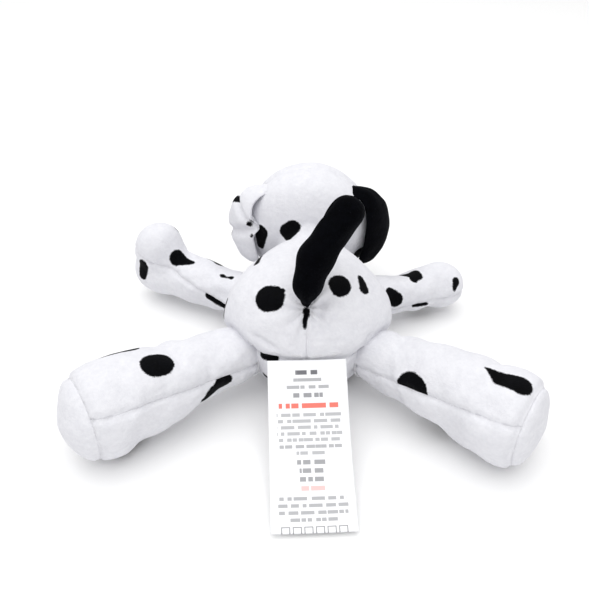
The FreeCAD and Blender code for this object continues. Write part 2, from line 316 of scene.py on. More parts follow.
def wrap(rays, surface):
    """Where each ray leaves a closed surface, given as points and faces."""
    origins, directions, faces = rays
    tree = BVHTree.FromPolygons([tuple(p) for p in surface[0]], surface[1])
    points = []
    for origin, direction in zip(origins, directions):
        hit = tree.ray_cast(Vector(origin + direction * 100), Vector(-direction))[0]
        points.append(tuple(hit) if hit is not None else tuple(origin + direction))
    return np.array(points), faces


# ---------- meshes ----------
def link(obj):
    bpy.context.scene.collection.objects.link(obj)


def wrapped(name, rays, surface):
    """A fine net drawn over a stuffed surface."""
    return new_object(name + "_whole", *wrap(rays, surface))


def new_object(name, points, faces):
    mesh = bpy.data.meshes.new(name)
    mesh.from_pydata([tuple(p) for p in np.asarray(points) * MM], [], faces)
    obj = bpy.data.objects.new(name, mesh)
    link(obj)
    work = bmesh.new()
    work.from_mesh(mesh)
    bmesh.ops.remove_doubles(work, verts=work.verts[:], dist=0.01 * MM)
    bmesh.ops.recalc_face_normals(work, faces=work.faces[:])
    work.to_mesh(mesh)
    work.free()
    mesh.shade_smooth()
    return obj


def read_points(obj):
    points = np.zeros(len(obj.data.vertices) * 3)
    obj.data.vertices.foreach_get("co", points)
    return points.reshape(-1, 3) / MM


def read_faces(obj):
    return [tuple(face.vertices) for face in obj.data.polygons]


def tree_of(obj):
    return BVHTree.FromPolygons([tuple(p) for p in read_points(obj)], read_faces(obj))


def write_points(obj, points):
    obj.data.vertices.foreach_set("co", (np.asarray(points) * MM).ravel())
    obj.data.update()


def read_normals(obj):
    normals = np.zeros(len(obj.data.vertices) * 3)
    obj.data.vertex_normals.foreach_get("vector", normals)
    return normals.reshape(-1, 3)


def apply_modifiers(obj):
    graph = bpy.context.evaluated_depsgraph_get()
    mesh = bpy.data.meshes.new_from_object(obj.evaluated_get(graph))
    old = obj.data
    obj.modifiers.clear()
    obj.data = mesh
    bpy.data.meshes.remove(old)
    obj.data.name = obj.name
    obj.data.shade_smooth()


def copied(obj, name):
    twin = obj.copy()
    twin.data = obj.data.copy()
    twin.name = name
    twin.data.name = name
    link(twin)
    return twin


def cut_away(obj, point, normal):
    """Keep only the side of a plane that its normal points to."""
    work = bmesh.new()
    work.from_mesh(obj.data)
    bmesh.ops.bisect_plane(
        work, geom=work.verts[:] + work.edges[:] + work.faces[:],
        plane_co=Vector(point) * MM, plane_no=Vector(normal), clear_inner=True)
    work.to_mesh(obj.data)
    work.free()


def push(obj, amounts):
    """Move each vertex along its normal by an amount in millimetres."""
    write_points(obj, read_points(obj) + read_normals(obj) * np.asarray(amounts)[:, None])


# ---------- stuffing by cloth simulation ----------
SIM_SCALE = 5.0            # the cloth solver is steadier on a larger body
SIM_FRAMES = 20


PLUSH_CLOTH = {
    "quality": 6,
    "mass": 0.3,
    "tension_stiffness": 12,
    "compression_stiffness": 12,
    "shear_stiffness": 5,
    "bending_stiffness": 0.3,
    "use_pressure": True,
    "uniform_pressure_force": 4.0,
    "vertex_group_mass": "held",
    "pin_stiffness": 1.0,
}


def stuffed(name, rays, form, held, cap, slack=0.05):
    """A sewn cover filled with fibre: it swells between the places that are held.

    held gives 0 to 1 for each point, and cap is the furthest that a point may move."""
    points, faces = reach(rays, form)
    obj = new_object(name + "_form", points, faces)
    start = read_points(obj)
    obj.data.transform(obj.matrix_world.Scale(SIM_SCALE, 4))
    obj.data.update()
    group = obj.vertex_groups.new(name="held")
    for index, weight in enumerate(held(start)):
        group.add([index], float(weight), "REPLACE")
    cloth = obj.modifiers.new("cloth", "CLOTH")
    for setting, value in PLUSH_CLOTH.items():
        setattr(cloth.settings, setting, value)
    cloth.settings.shrink_min = -slack
    cloth.settings.shrink_max = -slack
    cloth.settings.effector_weights.gravity = 0
    cloth.collision_settings.use_collision = False
    cloth.point_cache.frame_start = 1
    cloth.point_cache.frame_end = SIM_FRAMES
    for step in range(1, SIM_FRAMES + 1):
        bpy.context.scene.frame_set(step)
    apply_modifiers(obj)
    bpy.context.scene.frame_set(1)
    moved = read_points(obj) / SIM_SCALE - start
    size = lengths(moved)
    limit = cap * np.tanh(size / cap) / np.maximum(size, 1e-6)
    write_points(obj, start + moved * limit[:, None])
    obj.vertex_groups.clear()
    smooth = obj.modifiers.new("smooth", "SUBSURF")
    smooth.levels = 2
    smooth.render_levels = 2
    apply_modifiers(obj)
    surface = read_points(obj), read_faces(obj)
    bpy.data.objects.remove(obj)
    return surface


# ---------- materials ----------
def add(tree, kind, inputs=None, **settings):
    """One shader node, with its settings, and its inputs by name or number."""
    made = tree.nodes.new(kind)
    for key, value in settings.items():
        setattr(made, key, value)
    for key, value in (inputs or {}).items():
        if isinstance(value, bpy.types.NodeSocket):
            tree.links.new(value, made.inputs[key])
        else:
            made.inputs[key].default_value = value
    return made


def new_material(name):
    """A material, its node tree, its shader, and the object's own coordinates."""
    material = bpy.data.materials.new(name)
    material.use_nodes = True
    tree = material.node_tree
    tree.nodes.clear()
    output = tree.nodes.new("ShaderNodeOutputMaterial")
    shader = tree.nodes.new("ShaderNodeBsdfPrincipled")
    tree.links.new(shader.outputs[0], output.inputs[0])
    place = add(tree, "ShaderNodeTexCoord").outputs["Object"]
    return material, tree, shader, place


def wire(tree, shader, colour, rough=None, height=None, strength=0.0, distance=0.0):
    """Join a colour, and a roughness and a relief where there are any, to the shader."""
    tree.links.new(colour, shader.inputs["Base Color"])
    if rough is not None:
        tree.links.new(rough, shader.inputs["Roughness"])
    if height is not None:
        bump = add(tree, "ShaderNodeBump", {"Strength": strength, "Distance": distance, "Height": height})
        tree.links.new(bump.outputs[0], shader.inputs["Normal"])


def set_inputs(shader, values):
    for name, value in values.items():
        shader.inputs[name].default_value = value


def times(tree, a, b):
    return math_node(tree, "MULTIPLY", a, b)


def plus(tree, a, b):
    return math_node(tree, "ADD", a, b)


def apart(tree, a, b):
    """The distance between two values."""
    return math_node(tree, "ABSOLUTE", math_node(tree, "SUBTRACT", a, b))


def math_node(tree, operation, a, b=0.0):
    return add(tree, "ShaderNodeMath", {0: a, 1: b}, operation=operation).outputs[0]


def mapped(tree, source, low, high, to_low=0.0, to_high=1.0):
    spread = add(tree, "ShaderNodeMapRange", {
        0: source, 1: low, 2: high, 3: to_low, 4: to_high})
    return spread.outputs[0]


def noise_of(tree, place, scale, detail=2.0, stretch=None):
    if stretch is not None:
        place = add(tree, "ShaderNodeMapping", {"Vector": place, "Scale": stretch}).outputs[0]
    made = add(tree, "ShaderNodeTexNoise", {"Vector": place, "Scale": scale, "Detail": detail})
    return made.outputs[0]


def mixed(tree, factor, a, b):
    mix = add(tree, "ShaderNodeMix", {0: factor, 6: a, 7: b}, data_type="RGBA")
    return mix.outputs[2]


# The darker colour of each pair is painted shade. It is used where the pile's relief is low.
WHITE_PILE = (0.775, 0.775, 0.81, 1)
WHITE_PILE_SHADE = (0.70, 0.70, 0.74, 1)
DARK_PILE = (0.0012, 0.0014, 0.0026, 1)
DARK_PILE_SHADE = (0.0003, 0.0003, 0.0006, 1)


def plush(name, spotted, dark):
    """Short pile: brushed streaks, fine fibre bumps and, if spotted, printed spots with hairy edges. The
    colour is darker where the relief is low, which is painted shade in the pile mixed with random tone.
    """
    material, tree, shader, place = new_material(name)
    brushed = noise_of(tree, place, 260, 3, (1.0, 0.55, 1.6))
    fibres = noise_of(tree, place, 1700, 2)
    tufts = noise_of(tree, place, 620, 2)
    # Painted shade: the colour darkens where the brushed and tufted relief is low, mixed with random tone.
    shade = mapped(tree, plus(tree, times(tree, brushed, 0.55), times(tree, tufts, 0.45)), 0.30, 0.66)
    light = mixed(tree, shade, WHITE_PILE_SHADE, WHITE_PILE)
    deep = mixed(tree, shade, DARK_PILE_SHADE, DARK_PILE)
    if dark:
        colour = deep
    elif spotted:
        distance = add(tree, "ShaderNodeAttribute", attribute_name="spot").outputs["Fac"]
        ragged = times(tree, math_node(tree, "SUBTRACT", tufts, 0.5), 0.7)
        hairy = times(tree, math_node(tree, "SUBTRACT", fibres, 0.5), 1.2)
        edge = plus(tree, distance, plus(tree, ragged, hairy))
        inside = mapped(tree, edge, 0.38, -0.22)
        colour = mixed(tree, inside, light, deep)
    else:
        colour = light
    height = plus(tree, times(tree, tufts, 0.4), times(tree, brushed, 0.6))
    height = plus(tree, times(tree, fibres, 0.35), height)
    rough = mapped(tree, fibres, 0.3, 0.7, 0.82, 0.96)
    wire(tree, shader, colour, rough, height, 0.6, 0.0008)
    set_inputs(shader, {
        "Specular IOR Level": 0.04 if dark else 0.08,
        "Sheen Weight": 0.01 if dark else 0.03,
        "Sheen Roughness": 0.45,
        "Sheen Tint": (0.6, 0.65, 0.9, 1) if dark else (1, 1, 1, 1),
    })
    return material


def fibre_fill():
    material, tree, shader, place = new_material("polyester_fill")
    strands = noise_of(tree, place, 420, 6, (1.0, 0.35, 1.0))
    colour = mixed(tree, mapped(tree, strands, 0.3, 0.7), (0.66, 0.66, 0.64, 1), (0.86, 0.86, 0.85, 1))
    wire(tree, shader, colour, None, strands, 0.8, 0.001)
    set_inputs(shader, {"Roughness": 0.9, "Sheen Weight": 0.3})
    return material


def thread(name, colour, shadow):
    """Twisted sewing thread."""
    material, tree, shader, place = new_material(name)
    twist = add(tree, "ShaderNodeTexWave", {"Vector": place, "Scale": 1400, "Distortion": 3.0},
                bands_direction="DIAGONAL").outputs["Fac"]
    wire(tree, shader, mixed(tree, twist, shadow, colour), None, twist, 0.5, 0.0002)
    set_inputs(shader, {"Roughness": 0.55, "Sheen Weight": 0.2})
    return material


def gloss_plastic():
    """Moulded black plastic, polished, with the faint waves of a mould."""
    material, tree, shader, place = new_material("eye_gloss")
    cloud = noise_of(tree, place, 350, 2)
    wire(tree, shader, mixed(tree, cloud, (0.004, 0.004, 0.005, 1), (0.016, 0.014, 0.014, 1)),
         mapped(tree, cloud, 0.3, 0.7, 0.06, 0.14))
    set_inputs(shader, {"Coat Weight": 0.6, "Coat Roughness": 0.05})
    return material


def washer_plastic():
    material, tree, shader, place = new_material("washer_nylon")
    grain = noise_of(tree, place, 900, 3)
    wire(tree, shader, mixed(tree, grain, (0.60, 0.60, 0.56, 1), (0.74, 0.74, 0.70, 1)),
         mapped(tree, grain, 0.3, 0.7, 0.45, 0.6), grain, 0.2, 0.0002)
    return material


# Generic print on the label. A row is (distance from the top, height, width, how black).
GREY_ROWS = [
    (5.5, 2.0, 10.5, 0.95),
    (8.8, 1.5, 12.5, 0.6),
    (12.0, 1.5, 18.5, 0.6),
    (15.6, 2.0, 13.0, 0.75),
    *((24.2 + 2.7 * line, 1.5, wide, 0.55) for line, wide in enumerate((28.0, 27.0, 27.5, 28.0, 26.5))),
    (37.9, 1.5, 27.0, 0.6),
    (40.7, 1.5, 12.0, 0.55),
    (44.6, 2.0, 12.0, 0.7),
    (48.2, 2.0, 10.0, 0.7),
    (51.8, 2.0, 10.0, 0.7),
    (59.8, 1.5, 27.5, 0.6),
    (62.7, 1.5, 28.5, 0.6),
    (65.6, 1.5, 28.0, 0.6),
    (68.5, 1.5, 19.0, 0.6),
]
RED_ROWS = [(20.2, 2.2, 26.0, 0.9), (55.6, 2.0, 10.5, 0.45)]
INK = (0.10, 0.10, 0.115, 1)
RED_INK = (0.80, 0.09, 0.04, 1)
MARKS = (73.0, 3.2, 6, 4.6)     # a row of small empty squares: distance, size, count, spacing


def printed_row(tree, across, along, row):
    """A row of grey bars, broken where the gaps between words would be."""
    at, tall, wide, strength = row
    ink = mapped(tree, apart(tree, along, at), tall / 2 + 0.12, tall / 2 - 0.12)
    ink = times(tree, ink, math_node(tree, "LESS_THAN", math_node(tree, "ABSOLUTE", across), wide / 2))
    shifted = plus(tree, across, at * 5.3)
    words = add(tree, "ShaderNodeTexNoise", {"W": shifted, "Scale": 0.42, "Detail": 0.0},
                noise_dimensions="1D").outputs[0]
    ink = times(tree, ink, mapped(tree, words, 0.37, 0.39))
    return times(tree, ink, strength)


def satin_label():
    """White woven satin with grey and red bars where the small print would be."""
    material, tree, shader, _ = new_material("label_satin")
    at = add(tree, "ShaderNodeAttribute", attribute_name="label_at").outputs["Vector"]
    parts = add(tree, "ShaderNodeSeparateXYZ", {0: at})
    across, along = parts.outputs[0], parts.outputs[1]
    ink = 0.0
    for row in GREY_ROWS:
        ink = math_node(tree, "MAXIMUM", ink, printed_row(tree, across, along, row))
    red = 0.0
    for row in RED_ROWS:
        red = math_node(tree, "MAXIMUM", red, printed_row(tree, across, along, row))
    distance, size, count, spacing = MARKS
    off_row = apart(tree, along, distance)
    for index in range(count):
        middle = (index - (count - 1) / 2) * spacing
        off = math_node(tree, "MAXIMUM", apart(tree, across, middle), off_row)
        outline = apart(tree, off, size / 2)
        ink = math_node(tree, "MAXIMUM", ink, mapped(tree, outline, 0.28, 0.16, 0.0, 0.75))
    weave = add(tree, "ShaderNodeTexWave", {"Vector": at, "Scale": 2.4, "Distortion": 0.6},
                bands_direction="X").outputs["Fac"]
    base = mixed(tree, weave, (0.88, 0.885, 0.905, 1), (0.94, 0.945, 0.96, 1))
    colour = mixed(tree, ink, base, INK)
    colour = mixed(tree, red, colour, RED_INK)
    wire(tree, shader, colour, mapped(tree, weave, 0, 1, 0.38, 0.5), weave, 0.12, 0.0001)
    set_inputs(shader, {"Sheen Weight": 0.1})
    return material


def paper_floor():
    material, tree, shader, place = new_material("pale_floor")
    cloud = noise_of(tree, place, 3, 2)
    wire(tree, shader, mixed(tree, cloud, (0.93, 0.93, 0.93, 1), (0.95, 0.95, 0.95, 1)))
    set_inputs(shader, {"Roughness": 0.95})
    return material


SPOTTED = plush("spotted_plush", True, False)
DARK = plush("dark_plush_pile", False, True)
FILL = fibre_fill()
WHITE_THREAD = thread("white_sewing_thread", (0.82, 0.82, 0.84, 1), (0.6, 0.6, 0.63, 1))
DARK_THREAD = thread("dark_sewing_thread", (0.02, 0.02, 0.03, 1), (0.004, 0.004, 0.006, 1))


def dress(obj, material):
    obj.data.materials.clear()
    obj.data.materials.append(material)


# ---------- spots ----------
NO_SPOT = 20.0             # stands for "no spot near here", in millimetres


def ball_place(centre):
    """A place on a round part: azimuth from straight back towards +X, and elevation."""
    def place(azimuth, elevation):
        a, e = math.radians(azimuth), math.radians(elevation)
        return centre, np.array([math.sin(a) * math.cos(e), -math.cos(a) * math.cos(e), math.sin(e)])
    return place


def limb_place(root, end, outwards):
    """A place on a limb: millimetres from its root, and degrees from its top towards the back."""
    tangent = unit(np.asarray(end) - root)
    side = unit(np.cross(tangent, UP)) * outwards
    over = np.cross(side, tangent) * outwards

    def place(along, around):
        a = math.radians(around)
        return root + tangent * along, unit(math.cos(a) * over + math.sin(a) * side)
    return place


def store_spots(obj, distances):
    layer = obj.data.attributes.new("spot", "FLOAT", "POINT")
    layer.data.foreach_set("value", distances)


def paint_spots(obj, place, spots, whole):
    """Store each vertex's distance, in millimetres, to the nearest spot's outline.

    A spot is two places on the surface and a radius at each: a drop, a disc or a bar."""
    points = read_points(obj)
    tree = tree_of(whole)
    nearest = np.full(len(points), NO_SPOT)
    for start, start_radius, end, end_radius in spots:
        ends = []
        for coordinates in (start, end):
            origin, direction = place(*coordinates)
            hit = tree.ray_cast(Vector(origin + direction * 100), Vector(-direction))[0]
            ends.append(np.array(hit if hit is not None else origin))
        if np.linalg.norm(ends[1] - ends[0]) < 0.1:
            ends[1] = ends[0] + (0.1, 0, 0)
        nearest = np.minimum(nearest, capsule(points, ends[0], ends[1], start_radius, end_radius))
    store_spots(obj, nearest)


# ---------- pieces ----------
def thicken(obj, thickness):
    """Give a single layer its thickness, inwards."""
    shell = obj.modifiers.new("thickness", "SOLIDIFY")
    shell.thickness = thickness * MM
    shell.offset = -1
    apply_modifiers(obj)


def settle(obj, body, nodes, material):
    """Give a padded piece its finish and its place in the frame."""
    dress(obj, material)
    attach(obj, body)
    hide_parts(*nodes)


def finish_cover(obj, body, nodes, material=SPOTTED):
    thicken(obj, CLOTH)
    settle(obj, body, nodes, material)


def make_fill(name, whole, body, node):
    """The fibre inside a cover: the cover's shape, drawn in and lumpy."""
    obj = copied(whole, name)
    ease = obj.modifiers.new("ease", "SMOOTH")
    ease.factor = 0.5
    ease.iterations = 12
    thin = obj.modifiers.new("thin", "DECIMATE")
    thin.ratio = 0.25
    apply_modifiers(obj)
    push(obj, -FILL_INSET + 0.5 * waves(read_points(obj), 5, 11))
    settle(obj, body, [node], FILL)


def make_panel(whole, name, cuts, body, nodes, place=None, spots=()):
    """A part of a whole form, cut out by planes, with its spots and finish."""
    panel = copied(whole, name + "_cover")
    for point, normal in cuts:
        cut_away(panel, point, normal)
    if place is None:
        store_spots(panel, np.full(len(panel.data.vertices), NO_SPOT))
    else:
        paint_spots(panel, place, spots, whole)
    finish_cover(panel, body, nodes)


def belly_seam(p):
    """Height above the seam between back and belly."""
    return (p[:, 2] - BELLY_SEAM_Z - BELLY_SEAM_SLOPE * p[:, 1]) / math.hypot(1, BELLY_SEAM_SLOPE)


def fold(points, line, depth, width):
    """A crease pressed along a line of points, deepest near its first point."""
    line = np.array(line, float)
    nearest = np.full(len(points), 99.0)
    strength = np.zeros(len(points))
    total = len(line) - 1
    for i in range(total):
        run = line[i + 1] - line[i]
        h = np.clip((points - line[i]) @ run / (run @ run), 0, 1)
        away = lengths(points - line[i] - h[:, None] * run)
        closer = away < nearest
        nearest = np.where(closer, away, nearest)
        along = (i + h) / total
        strength = np.where(closer, np.clip(4 * along, 0, 1) * np.sqrt(np.clip(1 - along, 0, 1)), strength)
    return -depth * strength * groove(nearest, width)


def gathers(points, centre, normal, count, depth, radius, seed):
    """Pleats that run out from a point where cloth is drawn together."""
    normal = unit(normal)
    away = points - centre
    flat = away - np.outer(away @ normal, normal)
    side = unit(np.cross(normal, (0.3, 0.2, 1.0)))
    over = np.cross(normal, side)
    angle = np.arctan2(flat @ over, flat @ side)
    distance = lengths(away)
    wander = 0.9 * waves(points, 14, seed)
    pleats = np.cos(count * angle + wander * 2.0)
    return depth * pleats * np.exp(-((distance / radius) ** 2)) * ramp(distance, 2, 7)


def make_torso():
    def held(p):
        seams = np.minimum(np.abs(belly_seam(p)), np.where(belly_seam(p) > 0, np.abs(p[:, 0]), 99))
        return np.maximum(groove(seams, 2.0), ramp(-p[:, 2], -3, -1))

    surface = stuffed("torso", ball_rays(TORSO_MIDDLE, 16), torso_form, held, 2.0)
    whole = wrapped("torso", ball_rays(TORSO_MIDDLE, 72), surface)
    p = read_points(whole)
    seam = belly_seam(p)
    ripple = 0.5 + 0.5 * waves(p, 2.2, 3)
    amount = -1.6 * groove(seam, 1.5) * (0.7 + 0.6 * ripple)
    amount += 0.45 * groove(np.abs(seam) - 3.0, 2.0) * (ripple - 0.4)
    amount += np.where(seam > 0, -0.9 * groove(p[:, 0], 1.1), 0)
    amount += gathers(p, TAIL_ROOT, (0, -0.6, 0.8), 9, 1.3, 18, 5)
    for hind, front in ((hind_form(p), right_front_form(p)), (hind_form(p * MIRROR), left_front_form(p))):
        amount -= 2.2 * groove(np.minimum(hind, front), 3.0)
    for line, depth, width in BODY_FOLDS:
        amount += fold(p, line, depth, width)
    amount += 0.5 * waves(p, 14, 1) + 0.22 * waves(p, 5, 2)
    amount *= ramp(p[:, 2], 0.0, 4.0)
    push(whole, amount)
    seam_point = (0, 0, BELLY_SEAM_Z)
    place = ball_place(TORSO_MIDDLE)
    for name, side in (("back_right", 1), ("back_left", -1)):
        cuts = [(seam_point, (0, -BELLY_SEAM_SLOPE, 1)), ((0, 0, 0), (side, 0, 0))]
        make_panel(whole, name, cuts, "torso", [name + "_panel"], place, BACK_SPOTS)
    make_panel(whole, "belly", [(seam_point, (0, BELLY_SEAM_SLOPE, -1))], "torso", ["belly_panel"],
               place, BELLY_SPOTS)
    make_fill("torso_fill", whole, "torso", "body_stuffing")
    return whole


# A fold is a line of points, its depth and its width.
BODY_FOLDS = [
    ([(8, -10, 58), (6, -15, 54), (4.5, -20, 46), (4, -23, 40)], 2.6, 1.8),
    ([(13, -13, 54), (15, -18, 45), (14, -21, 40)], 1.0, 2.6),
    ([(-9, -20, 45), (-7, -23, 38)], 1.8, 1.7),
    ([(-27, -13, 41), (-19, -20, 39), (-12, -23, 36.5)], 2.4, 1.5),
    ([(-24, -8, 47), (-17, -17, 45)], 0.9, 2.4),
    ([(29, -12, 40), (27, -17, 35)], 2.2, 1.5),
    ([(18, 16, 59), (24, 13, 56)], 1.0, 1.2),
]
# A spot is a place and a radius at each of its two ends.
BACK_SPOTS = [
    ((-37, 40), 6.2, (-33, 41.5), 6.0),
    ((-31, 45), 2.6, (-27, 48.5), 1.2),
    ((37, 51), 5.3, (38, 51), 5.3),
    ((67, 46), 1.6, (60, 39.5), 2.7),
    ((-1, 38), 1.5, (-1.5, 33), 1.9),
    ((-1.5, 33), 1.9, (-2, 26), 0.7),
    ((-118, 40), 1.6, (-96, 46), 1.6),
    ((-88, 84), 1.0, (40, 86), 1.0),
    ((-78, 16), 1.4, (-76, 4), 1.1),
    ((-33, -2.5), 1.7, (-23, -1), 2.3),
    ((150, 50), 4.0, (150, 50), 4.0),
    ((120, 15), 4.4, (112, 12), 4.0),
    ((-140, 12), 4.6, (-136, 18), 3.4),
]
BELLY_SPOTS = [
    ((-33, -2.5), 1.7, (-23, -1), 2.3),
    ((-33, -26), 2.4, (-27, -30), 3.0),
    ((60, -45), 4.5, (50, -50), 4.0),
    ((170, -40), 5.0, (165, -50), 4.0),
    ((-120, -50), 4.2, (-110, -55), 5.0),
]
HEAD_SPOTS = [
    ((-60, 9), 4.1, (-63, -9), 2.3),
    ((-22, 26.5), 4.1, (-28, 20), 4.5),
    ((-147, 47), 2.6, (-165, 50), 2.6),
    ((2, 18.5), 1.0, (12, 18), 2.9),
    ((128, 20), 4.4, (138, 26), 3.4),
    ((-150, -8), 3.6, (-155, -14), 3.0),
    ((70, -20), 4.0, (76, -26), 3.0),
]
LEFT_HIND_TOP_SPOTS = [
    ((38.5, 17), 6.0, (41, 16), 6.2),
    ((45, -33), 3.6, (57, -33), 2.6),
    ((24, -70), 4.5, (30, -78), 3.5),
]
LEFT_HIND_UNDER_SPOTS = [
    ((13, 84), 4.3, (25, 95), 1.3),
    ((55, 170), 5.5, (62, 160), 4.0),
    ((40, -120), 4.0, (46, -126), 5.0),
]
RIGHT_HIND_TOP_SPOTS = [
    ((24.5, 66), 7.6, (24.5, 66), 7.6),
    ((49.5, -1), 0.5, (57, 3), 3.6),
    ((57, 3), 3.6, (66, 4), 4.7),
    ((70, 58), 0.9, (74, 62), 0.9),
    ((40, -75), 5.0, (48, -70), 4.0),
]
RIGHT_HIND_UNDER_SPOTS = [
    ((30, 175), 5.0, (38, 165), 5.5),
    ((62, -140), 5.0, (66, -130), 3.6),
]
LEFT_FRONT_TOP_SPOTS = [
    ((43, 22), 4.6, (35.5, 7), 1.2),
    ((15.5, 12.5), 1.5, (13, 12), 0.5),
    ((13, 12), 0.5, (10.5, 6), 1.4),
    ((60, 74), 3.4, (60.5, 104), 2.6),
    ((54, -28), 3.2, (58, -30), 3.0),
    ((26, -62), 4.2, (31, -66), 3.4),
]
LEFT_FRONT_UNDER_SPOTS = [
    ((60, 74), 3.4, (60.5, 104), 2.6),
    ((18, 92), 2.4, (8, 92), 3.6),
    ((40, -120), 4.0, (46, -110), 4.0),
]
RIGHT_FRONT_TOP_SPOTS = [
    ((21.5, -26), 1.3, (27, 6), 3.6),
    ((27, -6), 3.4, (24.5, 20), 2.2),
    ((9, 48), 3.4, (11, 66), 4.2),
    ((48, 48), 2.4, (46.5, 68), 1.2),
    ((36, -66), 3.8, (40, -60), 3.0),
]
RIGHT_FRONT_UNDER_SPOTS = [
    ((23, 103), 1.1, (31, 103), 0.9),
    ((30, 175), 4.2, (36, 170), 4.2),
]
# On an ear: distance down from the head and part of its half width across.
LEFT_EAR_SPOTS = [
    ((16, 0.35), 0.4, (19, 0.75), 0.9),
    ((24, -0.95), 1.9, (30, -1.0), 0.6),
    ((40, 0.95), 0.3, (45, 0.9), 0.3),
]


def make_head():
    def held(p):
        return np.maximum(groove(p[:, 1] - FACE_SEAM_Y, 2.5), ramp(-p[:, 1], -44, -38))

    surface = stuffed("head", ball_rays(HEAD_CENTRE, 16), head_form, held, 1.5)
    whole = wrapped("head", ball_rays(HEAD_CENTRE, 68), surface)
    p = read_points(whole)
    behind = p[:, 1] < FACE_SEAM_Y
    amount = -0.9 * groove(p[:, 1] - FACE_SEAM_Y, 1.3)
    amount += np.where(behind, -0.15 * groove(p[:, 0], 1.4), 0)
    amount -= 1.2 * groove(muzzle_form(p), 2.0)
    amount += 0.4 * waves(p, 18, 21) + 0.12 * waves(p, 5, 22)
    push(whole, amount)
    place = ball_place(HEAD_CENTRE)
    seam_point = (0, FACE_SEAM_Y, 0)
    make_panel(whole, "head_back", [(seam_point, (0, -1, 0))], "head",
               ["head_back_right_panel", "head_back_left_panel"], place, HEAD_SPOTS)
    make_panel(whole, "face", [(seam_point, (0, 1, 0))], "head", ["face_panel"], place, HEAD_SPOTS)
    make_fill("head_fill", whole, "head", "head_stuffing")


def make_muzzle():
    surface = stuffed("muzzle", ball_rays(MUZZLE_CENTRE, 10), muzzle_form,
                      lambda p: groove(p[:, 2] - MUZZLE_CENTRE[2] + MUZZLE_SEAM_DROP, 2.0), 0.8)
    whole = wrapped("muzzle", ball_rays(MUZZLE_CENTRE, 40), surface)
    p = read_points(whole)
    seam = (p - MUZZLE_CENTRE + (0, 0, MUZZLE_SEAM_DROP)) @ unit((0, MUZZLE_SEAM_SLOPE, 1))
    front = ramp(p[:, 1], 100, 108)
    amount = -0.8 * groove(seam, 1.0)
    amount -= 0.9 * groove(p[:, 0], 1.6) * front * (p[:, 2] < MUZZLE_CENTRE[2] + 4)
    amount += 0.25 * waves(p, 8, 31)
    push(whole, amount)
    seam_point = MUZZLE_CENTRE - (0, 0, MUZZLE_SEAM_DROP)
    for name, side in (("muzzle", 1), ("chin", -1)):
        make_panel(whole, name, [(seam_point, (0, MUZZLE_SEAM_SLOPE * side, side))], "head", [name + "_panel"])
    return whole


def on_surface(tree, point, direction, lift):
    """The point of a surface straight in from a place outside it, lifted clear."""
    start = Vector(point) - Vector(direction) * 60
    hit, normal, _, _ = tree.ray_cast(start, Vector(direction))
    if hit is None:
        hit, normal, _, _ = tree.find_nearest(Vector(point))
    return np.array(hit) + np.array(normal) * lift


def make_thread(name, lines, radius, body, node, material=WHITE_THREAD):
    """Rounded threads through lists of points, as one piece."""
    curve = bpy.data.curves.new(name, "CURVE")
    curve.dimensions = "3D"
    curve.bevel_depth = radius * MM
    curve.bevel_resolution = 3
    curve.resolution_u = 8
    curve.use_fill_caps = True
    for line in lines:
        spline = curve.splines.new("NURBS")
        spline.points.add(len(line) - 1)
        for made, point in zip(spline.points, line):
            made.co = (*(np.asarray(point) * MM), 1)
        spline.order_u = 3
        spline.use_endpoint_u = True
    source = bpy.data.objects.new(name, curve)
    mesh = bpy.data.meshes.new_from_object(source)
    bpy.data.objects.remove(source)
    obj = bpy.data.objects.new(name, mesh)
    mesh.name = name
    link(obj)
    mesh.shade_smooth()
    dress(obj, material)
    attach(obj, body)
    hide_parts(node)


def make_face(muzzle):
    """A padded nose, and a stitched line and smile below it."""
    tip = MUZZLE_CENTRE + (0, 12.8, 6)

    def nose_form(p):
        pad = ellipsoid(p, tip, (6.6, 4.6, 4.3))
        point = ellipsoid(p, tip + (0, 0.4, -1.8), (3.6, 3.9, 4.2))
        return smooth_union(pad, point, 2)

    surface = stuffed("nose", ball_rays(tip, 6), nose_form, lambda p: groove(p[:, 1] - tip[1], 1), 0.3)
    points, faces = wrap(ball_rays(tip, 22), surface)
    nose = new_object("nose_pad", points, faces)
    push(nose, 0.12 * waves(read_points(nose), 3, 41))
    settle(nose, "head", ["nose"], DARK)
    tree = tree_of(muzzle)
    centre = MUZZLE_CENTRE + (0, 0, 5)
    stem = [centre + (0, 14, z) for z in (-3.5, -5, -7, -9.2)]
    lines = [[on_surface(tree, p, (0, -1, 0), 0.25) for p in stem]]
    for side in (-1, 1):
        smile = [centre + (side * 9.1 * math.sin(a), 14, -9.1 * math.cos(a))
                 for a in np.linspace(0, math.radians(62), 9)]
        lines.append([on_surface(tree, p, (0, -1, 0), 0.25) for p in smile])
    make_thread("mouth_thread", lines, MOUTH_RADIUS, "head", "mouth_stitching", DARK_THREAD)


